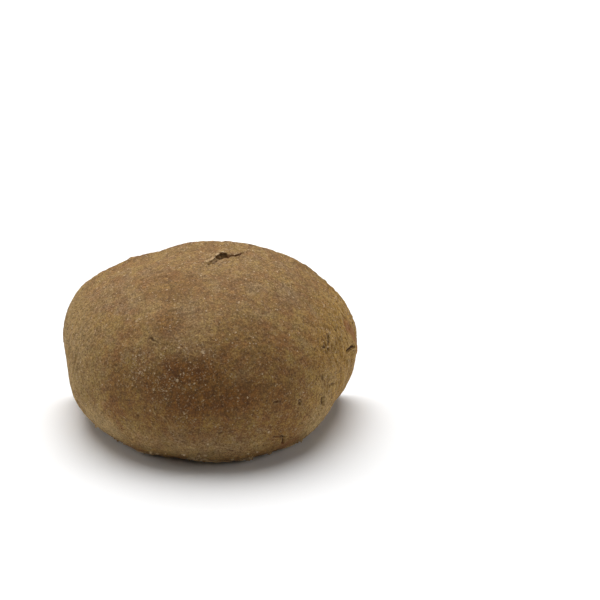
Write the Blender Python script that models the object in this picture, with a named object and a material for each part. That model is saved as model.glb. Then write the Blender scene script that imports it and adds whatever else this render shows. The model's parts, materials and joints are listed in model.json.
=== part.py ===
# Half of a round rye wheat loaf: a low dome of browned crust on a flat base, cut straight down
# across its widest part. The rounded end points to -Y and the cut face to +Y. The origin is the
# middle of the footprint, on the surface that the loaf rests on. Metres, +Z up.

import math
import random

import bmesh
import bpy
import numpy as np
from mathutils import Vector, noise

MM = 0.001

# Driving dimensions
HALF_WIDTH = 66.8 * MM
LOAF_DEPTH = 80.0 * MM
LOAF_HEIGHT = 76.0 * MM
CUT_Y = LOAF_DEPTH / 2
CRUST = 2.2 * MM
CRUMB_RECESS = 0.5 * MM

# Each profile runs from the side of the loaf, at the cut, to its rounded end
BELLY_HEIGHT = (31.0 * MM, 28.0 * MM)
FOOTPRINT = (0.70, 0.81)
DOME_POWER = (1.92, 2.25)
ROLL_POWER = (2.1, 2.0)
PLAN_POWER = 2.16
ROLL_ANGLE = math.radians(58)
BASE_SINK = 0.6 * MM

# Slow unevenness of the crust
WAVE_LENGTH = 21.0 * MM
WAVE_HEIGHT = 0.45 * MM
WAVE_SEED = 3.7

# Swellings and hollows of the dough: place (x, y, z), spread and height in millimetres
LUMPS = (
    ((-58, 36, 53), 9, 0.7),
    ((-42, 37, 66), 6, -1.1),
    ((-24, 37, 73), 8, -1.8),
    ((30, 36, 71), 11, 0.5),
    ((52, 37, 58), 6, -1.0),
    ((61, 36, 46), 9, -1.45),
    ((57, 8, 10), 9, -2.1),
    ((41, -12, 4), 6, 0.7),
    ((-65.5, 23, 25), 8, -1.8),
    ((-58, 7, 12), 7, 0.85),
    ((-40, -13, 4), 10, -0.7),
    ((-14, -28, 2), 9, -0.9),
    ((8, -29, 2), 6, 0.7),
)

# Tears, cracks, flaps and ridges: route (x, y, z), half width and height in millimetres
TEARS = (
    # tear at the top of the cut, with the raised rim behind it and the flap beside it
    (((4.6, 22.0, 75), (7.4, 23.4, 75)), 1.5, -2.4),
    (((3.4, 25.6, 75), (6.4, 27.0, 75), (9.0, 26.6, 75)), 1.0, 1.3),
    (((-2.4, 19.6, 75), (1.2, 21.4, 75)), 0.9, 0.9),
    (((0.0, 17.6, 75), (3.4, 18.4, 75)), 0.8, -1.0),
    (((8.4, 24.4, 75), (11.6, 25.3, 75), (14.6, 28.5, 75)), 0.8, -0.9),
    # corner that stands up at the left of the cut
    (((-35.0, 38.5, 68),), 1.6, 0.7),
    (((-38.4, 37.0, 66),), 1.6, -0.5),
    # smooth torn side, its notch and the lobe below it
    (((61.7, 21.5, 44), (64.2, 22.5, 38.7), (65.4, 23.5, 34)), 2.4, -0.7),
    (((63.4, 13.9, 35.8), (65.2, 21.0, 33), (66.5, 28.1, 30.4)), 1.0, -1.5),
    (((66.8, 30.8, 26),), 3.0, 1.3),
    # seam down the right shoulder
    (((53.2, -0.3, 48.5), (53.2, -3.0, 46.1), (53.2, -5.6, 43.8)), 0.7, -0.9),
    # forked crack low on the right, and the fine ones along the lower edge
    (((29.7, -30.6, 13.7), (31.3, -29.0, 12.4), (33.6, -27.1, 11.5), (33.2, -23.7, 6.2)), 0.9, -1.3),
    (((44.3, -17.8, 11.6), (49.1, -13.0, 14.1)), 0.7, -0.8),
    # pits on the right flank, and a short crack on the left shoulder
    (((40.4, -26.0, 27.0),), 0.9, -0.9),
    (((40.7, -25.2, 22.0),), 0.9, -0.8),
    (((50.0, -15.3, 22.6),), 0.9, -0.8),
    (((30.6, -32.7, 31.5),), 0.8, -0.7),
    (((-24.0, -22.0, 57.0), (-22.0, -22.8, 56.4)), 0.7, -0.7),
    # low curved ridge on the lower front
    (((-18.3, -37.7, 27.7), (-17.2, -38.6, 23.0), (-14.7, -37.6, 18.7)), 1.1, 0.45),
)
TEAR_REACH = 3.0        # half widths over which the crust round a tear gets finer faces
RAGGED_LENGTH = 2.1 * MM
RAGGED_REACH = 0.9 * MM
CRUST_FACE_SHARE = 0.115

# Pores of the cut face: count, smallest and largest radius in millimetres, sphere subdivisions
PORES = (
    (26, 1.4, 2.4, 2),
    (80, 0.75, 1.4, 1),
)
PORE_EDGE = 4.5 * MM
PORE_GAP = 0.5 * MM
PORE_SEED = 11

CRUST_COLOUR = (0.25, 0.155, 0.078, 1.0)
CRUMB_COLOUR = (0.125, 0.092, 0.055, 1.0)


def clear_scene():
    for item in list(bpy.data.objects):
        bpy.data.objects.remove(item, do_unlink=True)


def make_material(name, colour, roughness):
    material = bpy.data.materials.new(name)
    material.use_nodes = True
    shader = material.node_tree.nodes["Principled BSDF"]
    shader.inputs["Base Color"].default_value = colour
    shader.inputs["Roughness"].default_value = roughness
    shader.inputs["Metallic"].default_value = 0.0
    return material


def mix(pair, share):
    return pair[0] + (pair[1] - pair[0]) * share


def loaf_surface(unit):
    """Carries directions on a unit sphere to the smooth surface of the whole loaf."""
    turn = np.arctan2(unit[:, 1], unit[:, 0])
    rise = np.arcsin(np.clip(unit[:, 2], -1.0, 1.0))
    end_share = np.sin(turn) ** 2
    belly = mix(BELLY_HEIGHT, end_share)
    foot = mix(FOOTPRINT, end_share)
    dome = 2.0 / mix(DOME_POWER, end_share)
    roll = 2.0 / mix(ROLL_POWER, end_share)

    above = np.clip(rise, 0.0, math.pi / 2)
    dome_reach = np.abs(np.cos(above)) ** dome
    dome_height = belly + (LOAF_HEIGHT - belly) * np.sin(above) ** dome

    below = np.clip(-rise / ROLL_ANGLE, 0.0, 1.0) * math.pi / 2
    base_share = np.clip((-rise - ROLL_ANGLE) / (math.pi / 2 - ROLL_ANGLE), 0.0, 1.0)
    roll_reach = (foot + (1.0 - foot) * np.abs(np.cos(below)) ** roll) * (1.0 - base_share)
    roll_height = (belly + BASE_SINK) * (1.0 - np.sin(below) ** roll) - BASE_SINK

    reach = np.where(rise >= 0.0, dome_reach, roll_reach)
    height = np.where(rise >= 0.0, dome_height, roll_height)
    plan = (np.abs(np.cos(turn)) ** PLAN_POWER + np.abs(np.sin(turn)) ** PLAN_POWER) ** (-1.0 / PLAN_POWER)
    across = HALF_WIDTH * np.cos(turn) * plan * reach
    along = CUT_Y + LOAF_DEPTH * np.sin(turn) * plan * reach
    return np.column_stack((across, along, height))


def outward(points):
    """Direction away from the loaf's core, close to the crust's normal."""
    away = (points - np.array((0.0, CUT_Y, 30.0 * MM))) * np.array((1.0, 0.8, 1.2))
    return away / np.linalg.norm(away, axis=1)[:, None]


def lump_height(points):
    height = np.zeros(len(points))
    for place, spread, rise in LUMPS:
        gap = np.linalg.norm(points - np.array(place) * MM, axis=1) / (spread * MM)
        height += rise * MM * np.exp(-0.5 * gap ** 2)
    return height


def wave_height(points):
    offset = Vector((WAVE_SEED, -WAVE_SEED, 2.0 * WAVE_SEED))
    return np.array([noise.noise(Vector(point) / WAVE_LENGTH + offset) for point in points]) * WAVE_HEIGHT


def snapped(route, points):
    """Moves each point of a route to the nearest point of the crust."""
    places = np.array(route) * MM
    return [points[np.argmin(np.linalg.norm(points - place, axis=1))] for place in places]


def route_distance(points, route):
    if len(route) == 1:
        return np.linalg.norm(points - route[0], axis=1)
    nearest = np.full(len(points), np.inf)
    for start, end in zip(route, route[1:]):
        run = end - start
        share = np.clip((points - start) @ run / (run @ run), 0.0, 1.0)
        gap = np.linalg.norm(points - start - share[:, None] * run, axis=1)
        nearest = np.minimum(nearest, gap)
    return nearest


def near_a_tear(points):
    near = np.zeros(len(points), dtype=bool)
    for route, half_width, _ in TEARS:
        near |= route_distance(points, snapped(route, points)) < TEAR_REACH * half_width * MM
    return near


def tear_height(points):
    ragged = np.array([noise.noise_vector(Vector(point) / RAGGED_LENGTH) for point in points]) * RAGGED_REACH
    height = np.zeros(len(points))
    for route, half_width, rise in TEARS:
        gap = route_distance(points + ragged, snapped(route, points)) / (half_width * MM)
        height += rise * MM * np.exp(-gap ** 2)
    return height


def crust_points(unit):
    smooth = loaf_surface(unit)
    lumpy = smooth + outward(smooth) * (lump_height(smooth) + wave_height(smooth))[:, None]
    return lumpy + outward(lumpy) * tear_height(lumpy)[:, None]


def unit_directions(mesh):
    return np.array([vert.co.normalized() for vert in mesh.verts])


def refine_tears(mesh):
    """Splits the sphere's edges where the crust is torn or cracked."""
    smooth = loaf_surface(unit_directions(mesh))
    near = near_a_tear(smooth)
    edges = [edge for edge in mesh.edges if all(near[vert.index] for vert in edge.verts)]
    bmesh.ops.subdivide_edges(mesh, edges=edges, cuts=1, use_grid_fill=True)
    bmesh.ops.triangulate(mesh, faces=mesh.faces[:])
    mesh.verts.ensure_lookup_table()
    mesh.verts.index_update()


def make_crust(collection, material):
    """The whole loaf's crust, ended just past the cut, with fewer faces where it is plain."""
    mesh = bmesh.new()
    bmesh.ops.create_icosphere(mesh, subdivisions=7, radius=1.0)
    refine_tears(mesh)
    for vert, place in zip(mesh.verts, crust_points(unit_directions(mesh))):
        vert.co = place
    spare = 3.0 * MM
    everything = mesh.verts[:] + mesh.edges[:] + mesh.faces[:]
    bmesh.ops.bisect_plane(mesh, geom=everything, plane_co=(0, CUT_Y + spare, 0), plane_no=(0, 1, 0),
                           clear_outer=True)
    rim = [edge for edge in mesh.edges if edge.is_boundary]
    bmesh.ops.contextual_create(mesh, geom=rim)
    bmesh.ops.recalc_face_normals(mesh, faces=mesh.faces[:])
    loaf = new_object("rye_wheat_loaf", mesh, collection, material)
    fewer = loaf.modifiers.new("fewer faces", "DECIMATE")
    fewer.ratio = CRUST_FACE_SHARE
    return loaf


def new_object(name, mesh, collection, material=None):
    data = bpy.data.meshes.new(name)
    mesh.to_mesh(data)
    mesh.free()
    made = bpy.data.objects.new(name, data)
    collection.objects.link(made)
    if material:
        data.materials.append(material)
    return made


def make_cutter(name, mesh, collection, material=None):
    cutter = new_object(name, mesh, collection, material)
    cutter.hide_render = True
    cutter.display_type = "WIRE"
    return cutter


def make_half_box(collection, material):
    """The space that the half loaf keeps: in front of the cut and above the table."""
    size = Vector((3.0 * HALF_WIDTH, 2.0 * LOAF_DEPTH, 2.0 * LOAF_HEIGHT))
    mesh = bmesh.new()
    bmesh.ops.create_cube(mesh, size=1.0)
    bmesh.ops.scale(mesh, vec=size, verts=mesh.verts[:])
    bmesh.ops.translate(mesh, vec=(0.0, CUT_Y - size.y / 2, size.z / 2), verts=mesh.verts[:])
    return make_cutter("kept half", mesh, collection, material)


def crumb_outline(inset, count=96):
    """The cut's outline at the inner side of the crust, as points (x, z)."""
    angles = np.linspace(-math.pi / 2, 1.5 * math.pi, count, endpoint=False)
    unit = np.column_stack((np.cos(angles), np.zeros(count), np.sin(angles)))
    smooth = loaf_surface(unit)
    inner = smooth + outward(smooth) * (lump_height(smooth) - inset)[:, None]
    return [(x, max(z, inset)) for x, _, z in inner]


def make_crumb_recess(collection, material):
    """The crumb has sunk a little below the rim of the crust."""
    mesh = bmesh.new()
    depth = 4.0 * MM
    ring = [mesh.verts.new((x, CUT_Y - CRUMB_RECESS, z)) for x, z in crumb_outline(CRUST)]
    face = mesh.faces.new(ring)
    extruded = bmesh.ops.extrude_face_region(mesh, geom=[face])
    far_side = [item for item in extruded["geom"] if isinstance(item, bmesh.types.BMVert)]
    bmesh.ops.translate(mesh, vec=(0.0, depth, 0.0), verts=far_side)
    bmesh.ops.remove_doubles(mesh, verts=mesh.verts[:], dist=0.05 * MM)
    bmesh.ops.recalc_face_normals(mesh, faces=mesh.faces[:])
    return make_cutter("crumb recess", mesh, collection, material)


def pore_places():
    """Pores spread over the crumb without touching: centre, radii and turn of each."""
    draw = random.Random(PORE_SEED)
    outline = crumb_outline(PORE_EDGE)
    right = sorted((z, x) for x, z in outline if x > 0.0)
    heights = [z for z, _ in right]
    widths = [x for _, x in right]
    places = []
    for count, smallest, largest, detail in PORES:
        wanted = len(places) + count
        while len(places) < wanted:
            radius = draw.uniform(smallest, largest) * MM
            z = draw.uniform(heights[0], heights[-1])
            x = draw.uniform(-1.0, 1.0) * np.interp(z, heights, widths)
            wide = radius * draw.uniform(1.0, 1.45)
            tall = radius * draw.uniform(0.7, 1.0)
            sunk = radius * draw.uniform(-0.15, 0.3)
            turn = draw.uniform(-0.9, 0.9)
            clear = all(math.hypot(x - other[0], z - other[1]) > wide + other[2] + PORE_GAP for other in places)
            if clear:
                places.append((x, z, wide, tall, radius, sunk, turn, detail))
    return places


def make_pores(collection, material):
    mesh = bmesh.new()
    for x, z, wide, tall, deep, sunk, turn, detail in pore_places():
        ball = bmesh.ops.create_icosphere(mesh, subdivisions=detail, radius=1.0)["verts"]
        bmesh.ops.scale(mesh, vec=(wide, deep, tall), verts=ball)
        slope = Vector((math.cos(turn), 0.0, math.sin(turn)))
        rise = Vector((-math.sin(turn), 0.0, math.cos(turn)))
        centre = Vector((x, CUT_Y - CRUMB_RECESS - sunk, z))
        for vert in ball:
            vert.co = centre + slope * vert.co.x + rise * vert.co.z + Vector((0.0, vert.co.y, 0.0))
    return make_cutter("crumb pores", mesh, collection, material)


def add_boolean(target, cutter, operation):
    cut = target.modifiers.new(cutter.name, "BOOLEAN")
    cut.operation = operation
    cut.object = cutter


def centre_across(loaf, cutters):
    """Shifts the loaf and its cutters so that the kept half is centred on the origin."""
    kept = [vert.co.x for vert in loaf.data.vertices if vert.co.y <= CUT_Y]
    middle = (min(kept) + max(kept)) / 2
    for item in (loaf, *cutters):
        item.location.x = -middle


def main():
    clear_scene()
    loaf_collection = bpy.data.collections.new("rye wheat loaf")
    cutter_collection = bpy.data.collections.new("cutters")
    bpy.context.scene.collection.children.link(loaf_collection)
    bpy.context.scene.collection.children.link(cutter_collection)
    crust = make_material("crust", CRUST_COLOUR, 0.75)
    crumb = make_material("crumb", CRUMB_COLOUR, 0.9)

    loaf = make_crust(loaf_collection, crust)
    loaf.data.materials.append(crumb)
    half_box = make_half_box(cutter_collection, crumb)
    recess = make_crumb_recess(cutter_collection, crumb)
    pores = make_pores(cutter_collection, crumb)
    add_boolean(loaf, half_box, "INTERSECT")
    add_boolean(loaf, recess, "DIFFERENCE")
    add_boolean(loaf, pores, "DIFFERENCE")
    centre_across(loaf, (half_box, recess, pores))
    loaf.data.shade_smooth()
    loaf.data.set_sharp_from_angle(angle=math.radians(40))


main()
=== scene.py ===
# Half of a round rye wheat loaf: browned crust, cut crumb, torn flakes and crumbs, on a pale floor
import json
import math
import random

import bpy
import numpy as np
from mathutils import Matrix, Vector, kdtree, noise

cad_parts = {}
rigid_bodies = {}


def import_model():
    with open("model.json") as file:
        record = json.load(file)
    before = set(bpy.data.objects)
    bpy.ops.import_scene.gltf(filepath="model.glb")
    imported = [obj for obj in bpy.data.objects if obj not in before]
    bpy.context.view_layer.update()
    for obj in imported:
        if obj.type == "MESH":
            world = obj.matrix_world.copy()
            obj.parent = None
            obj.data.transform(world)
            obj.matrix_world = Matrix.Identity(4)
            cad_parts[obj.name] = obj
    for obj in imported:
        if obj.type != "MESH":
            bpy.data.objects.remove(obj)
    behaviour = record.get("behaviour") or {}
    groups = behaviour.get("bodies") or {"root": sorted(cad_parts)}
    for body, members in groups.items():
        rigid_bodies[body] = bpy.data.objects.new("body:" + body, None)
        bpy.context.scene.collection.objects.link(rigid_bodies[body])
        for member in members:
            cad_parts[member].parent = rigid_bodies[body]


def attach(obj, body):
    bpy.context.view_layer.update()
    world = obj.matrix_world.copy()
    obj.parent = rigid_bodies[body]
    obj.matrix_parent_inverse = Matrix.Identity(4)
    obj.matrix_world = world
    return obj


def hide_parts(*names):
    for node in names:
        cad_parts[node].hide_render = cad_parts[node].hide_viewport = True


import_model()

mm = 0.001
nodeName = "rye_wheat_loaf"
raggedSeed = 8
noise.seed_set(raggedSeed)   # keeps the ragged outlines the same in every run
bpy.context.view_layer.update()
print("frame loaded")

# the whole loaf's form; each pair runs from its side, at the cut, to its rounded end
loafForm = {
    "halfWidth": 66.8 * mm,
    "depth": 80.0 * mm,
    "height": 76.0 * mm,
    "cutY": 40.0 * mm,
    "belly": (31.0 * mm, 28.0 * mm),
    "footprint": (0.70, 0.81),
    "domePower": (1.92, 2.25),
    "rollPower": (2.1, 2.0),
    "planPower": 2.16,
    "rollAngle": math.radians(58),
    "waveLength": 21.0 * mm,
    "waveHeight": 0.45 * mm,
    "waveSeed": 3.7,
    # swellings and hollows of the dough: place, spread and height in millimetres
    "lumps": (
        ((-58, 36, 53), 9, 0.7),
        ((-42, 37, 66), 6, -1.1),
        ((-24, 37, 73), 8, -1.8),
        ((30, 36, 71), 11, 0.5),
        ((52, 37, 58), 6, -1.0),
        ((61, 36, 46), 9, -1.45),
        ((57, 8, 10), 9, -2.1),
        ((41, -12, 4), 6, 0.7),
        ((-65.5, 23, 25), 8, -1.8),
        ((-58, 7, 12), 7, 0.85),
        ((-40, -13, 4), 10, -0.7),
        ((-14, -28, 2), 9, -0.9),
        ((8, -29, 2), 6, 0.7),
    ),
}

# tears, cracks, crests and ridges, in millimetres: route, half width, height, height of the lips beside it,
# and the finish there; the dark finish paints shade into holes, cracks and under flaps, the crease one into
# creases
tears = (
    (((5.0, 22.6, 75), (6.6, 23.8, 75), (8.0, 24.4, 75)), 0.85, -2.1, 0.0, "dark"),
    (((6.0, 28.0, 75),), 2.6, 0.7, 0.0, "plain"),
    (((3.8, 24.0, 75), (5.2, 26.0, 75), (6.6, 26.6, 75), (8.2, 26.2, 75)), 0.5, 0.8, 0.0, "pale"),
    (((-0.4, 18.4, 75), (1.4, 19.6, 75), (2.8, 21.8, 75)), 0.8, 0.6, 0.0, "pale"),
    (((0.4, 16.9, 75), (2.6, 17.9, 75), (4.2, 20.4, 75)), 0.45, -0.8, 0.0, "dark"),
    (((8.5, 24.4, 75), (10.4, 25.8, 75), (12.0, 25.6, 75), (15.5, 29.4, 75)), 0.7, -1.0, 0.35, "creaseShade"),
    (((9.0, 24.8, 75), (15.0, 29.0, 75)), 1.2, -0.15, 0.0, "red"),
    (((9.0, 20.9, 75),), 0.7, -0.4, 0.0, "red"),
    (((-35.0, 38.5, 68),), 1.6, 0.7, 0.0, "plain"),
    (((-38.4, 37.0, 66),), 1.6, -0.5, 0.0, "red"),
    (((62.4, 20.5, 43.3), (64.1, 24.0, 39.2), (65.1, 26.0, 35.4)), 4.1, -0.5, 0.0, "smooth"),
    (((61.5, 7.6, 36.6), (63.0, 12.2, 35.8), (64.3, 17.2, 34.6), (65.5, 20.5, 33)), 0.75, -1.3, 0.3, "dark"),
    (((66.1, 24.0, 30.0),), 3.0, 0.8, 0.0, "raw"),
    (((52.8, 0.9, 49.1),), 1.0, 0.7, 0.0, "pale"),
    (((53.2, -0.9, 47.9), (53.2, -3.0, 46.1), (53.2, -5.6, 43.8)), 0.75, -0.9, 0.35, "dark"),
    (((50.8, -7.6, 45.8), (51.6, -6.7, 45.6)), 0.8, -0.7, 0.0, "dark"),
    (((56.6, 6.9, 47.4), (57.5, 5.7, 45.2)), 0.5, -0.5, 0.2, "creaseShade"),
    (((58.4, 13.1, 47.4), (59.0, 5.9, 42.3), (60.0, 3.4, 36.5)), 0.8, 0.5, 0.0, "ridge"),
    (((50.6, -14.5, 35.4), (50.6, -15.0, 33.5)), 0.75, -0.6, 0.15, "creaseShade"),
    (((53.5, -11.0, 28.3), (54.4, -9.6, 28.9), (56.5, -5.7, 27.3)), 0.5, -0.45, 0.3, "creaseShade"),
    (((50.6, -15.0, 24.6), (50.2, -14.7, 21.8)), 1.0, -0.9, 0.35, "dark"),
    (((51.5, -13.4, 25.4), (51.1, -13.2, 22.0)), 0.6, 0.5, 0.0, "pale"),
    (((52.3, -12.1, 23.3), (51.0, -13.1, 20.0), (49.6, -13.9, 17.0), (48.3, -14.4, 14.3),
      (46.7, -15.4, 12.6), (45.4, -16.2, 11.2), (43.6, -16.4, 8.4)), 0.7, 0.75, 0.0, "pale"),
    (((43.6, -16.4, 8.4), (41.6, -15.2, 4.9)), 0.5, 0.6, 0.0, "pale"),
    (((50.6, -12.0, 16.4), (49.2, -12.7, 13.8), (47.8, -13.4, 12.2)), 0.55, -0.9, 0.0, "dark"),
    (((40.7, -25.9, 28.6), (40.5, -25.9, 27.2)), 0.8, -0.8, 0.25, "dark"),
    (((40.1, -25.7, 25.4),), 0.55, -0.5, 0.0, "creaseShade"),
    (((41.3, -24.6, 23.2),), 0.4, -0.4, 0.0, "creaseShade"),
    (((29.9, -33.1, 31.4), (30.9, -32.5, 31.8)), 0.55, -0.5, 0.25, "creaseShade"),
    (((29.7, -30.6, 13.7), (32.1, -28.7, 12.8), (34.6, -26.4, 11.5)), 0.6, -0.9, 0.3, "creaseShade"),
    (((33.6, -26.9, 11.3), (33.2, -24.8, 7.9)), 0.75, -1.2, 0.3, "dark"),
    (((33.0, -24.0, 5.5), (39.0, -20.6, 6.5)), 3.0, 0.2, 0.0, "red"),
    (((-22.8, -22.8, 56.6), (-21.6, -23.5, 56.1)), 0.6, -0.5, 0.25, "creaseShade"),
    (((-18.3, -37.7, 27.9), (-16.0, -38.2, 25.7), (-14.1, -38.0, 20.2)), 0.55, 0.35, 0.0, "ridge"),
    (((-22.0, -36.5, 30.4), (-20.9, -36.9, 27.7)), 0.5, 0.3, 0.0, "ridge"),
    (((-28.7, -33.6, 25.5),), 0.8, -0.5, 0.0, "creaseShade"),
    (((-38.2, -23.5, 44.4),), 0.8, -0.4, 0.0, "creaseShade"),
    (((-30.7, -30.6, 15.7),), 0.7, -0.4, 0.0, "creaseShade"),
    (((6.1, -39.0, 19.4), (7.5, -39.0, 19.9)), 0.55, -0.35, 0.2, "creaseShade"),
    (((35.5, 13.0, 66.4), (37.0, 14.9, 66.1), (38.4, 15.8, 65.5)), 0.55, 0.35, 0.0, "ridge"),
    (((-2.9, -34.7, 7.2), (-3.4, -32.4, 4.4), (-4.6, -29.5, 1.6)), 0.7, -1.1, 0.3, "creaseShade"),
    (((9.4, -35.9, 9.8), (12.0, -35.2, 9.4)), 0.5, -0.4, 0.2, "creaseShade"),
)


def blendPair(pair, share):
    return pair[0] + (pair[1] - pair[0]) * share


def deselectAll():
    for item in bpy.context.view_layer.objects:
        item.select_set(False)


def selectOnly(piece):
    deselectAll()
    piece.select_set(True)
    bpy.context.view_layer.objects.active = piece


def setMode(mode):
    bpy.ops.object.mode_set(mode=mode)


def addObject(name, data):
    made = bpy.data.objects.new(name, data)
    bpy.context.scene.collection.objects.link(made)
    return made


# draws a new ring of faces out of the selected piece's one open edge
def growOpenEdge():
    setMode("EDIT")
    bpy.ops.mesh.select_mode(type="EDGE")
    bpy.ops.mesh.select_all(action="DESELECT")
    bpy.ops.mesh.select_non_manifold(extend=False, use_wire=False, use_multi_face=False)
    bpy.ops.mesh.extrude_edges_move()
    setMode("OBJECT")


# draws the open edge together in its middle and turns all faces outwards
def closeOpenEdge():
    growOpenEdge()
    setMode("EDIT")
    bpy.ops.mesh.merge(type="CENTER")
    bpy.ops.mesh.select_all(action="SELECT")
    bpy.ops.mesh.normals_make_consistent(inside=False)
    setMode("OBJECT")


def noiseField(points, size, seed=0.0):
    offset = Vector((seed, 1.7 * seed, -0.6 * seed))
    return np.array([noise.noise(Vector(point) / size + offset) for point in points])


# carries directions on a unit sphere to the smooth surface of the whole loaf
def loafSurface(unit):
    form = loafForm
    turn = np.arctan2(unit[:, 1], unit[:, 0])
    rise = np.arcsin(np.clip(unit[:, 2], -1.0, 1.0))
    endShare = np.sin(turn) ** 2
    belly = blendPair(form["belly"], endShare)
    foot = blendPair(form["footprint"], endShare)
    dome = 2.0 / blendPair(form["domePower"], endShare)
    roll = 2.0 / blendPair(form["rollPower"], endShare)
    above = np.clip(rise, 0.0, math.pi / 2)
    domeReach = np.abs(np.cos(above)) ** dome
    domeHeight = belly + (form["height"] - belly) * np.sin(above) ** dome
    below = np.clip(-rise / form["rollAngle"], 0.0, 1.0) * math.pi / 2
    baseShare = np.clip((-rise - form["rollAngle"]) / (math.pi / 2 - form["rollAngle"]), 0.0, 1.0)
    rollReach = (foot + (1.0 - foot) * np.abs(np.cos(below)) ** roll) * (1.0 - baseShare)
    rollHeight = belly * (1.0 - np.sin(below) ** roll)
    reach = np.where(rise >= 0.0, domeReach, rollReach)
    height = np.where(rise >= 0.0, domeHeight, rollHeight)
    power = form["planPower"]
    plan = (np.abs(np.cos(turn)) ** power + np.abs(np.sin(turn)) ** power) ** (-1.0 / power)
    across = form["halfWidth"] * np.cos(turn) * plan * reach
    along = form["cutY"] + form["depth"] * np.sin(turn) * plan * reach
    return np.column_stack((across, along, height))


# direction away from the loaf's core
def outward(points):
    away = (points - np.array((0.0, loafForm["cutY"], 30.0 * mm))) * np.array((1.0, 0.8, 1.2))
    return away / np.linalg.norm(away, axis=1)[:, None]


def lumpHeight(points):
    height = np.zeros(len(points))
    for place, spread, rise in loafForm["lumps"]:
        gap = np.linalg.norm(points - np.array(place) * mm, axis=1) / (spread * mm)
        height += rise * mm * np.exp(-0.5 * gap ** 2)
    return height


def lumpyPoints(unit):
    smooth = loafSurface(unit)
    seed = loafForm["waveSeed"]
    offset = Vector((seed, -seed, 2.0 * seed))
    wave = np.array([noise.noise(Vector(point) / loafForm["waveLength"] + offset) for point in smooth])
    return smooth + outward(smooth) * (lumpHeight(smooth) + wave * loafForm["waveHeight"])[:, None]


def snapped(route, points):
    places = np.array(route) * mm
    return [points[np.argmin(np.linalg.norm(points - place, axis=1))] for place in places]


def routeDistance(points, route):
    if len(route) == 1:
        return np.linalg.norm(points - route[0], axis=1)
    nearest = np.full(len(points), np.inf)
    for start, end in zip(route, route[1:]):
        run = end - start
        share = np.clip((points - start) @ run / (run @ run), 0.0, 1.0)
        nearest = np.minimum(nearest, np.linalg.norm(points - start - share[:, None] * run, axis=1))
    return nearest


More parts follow.
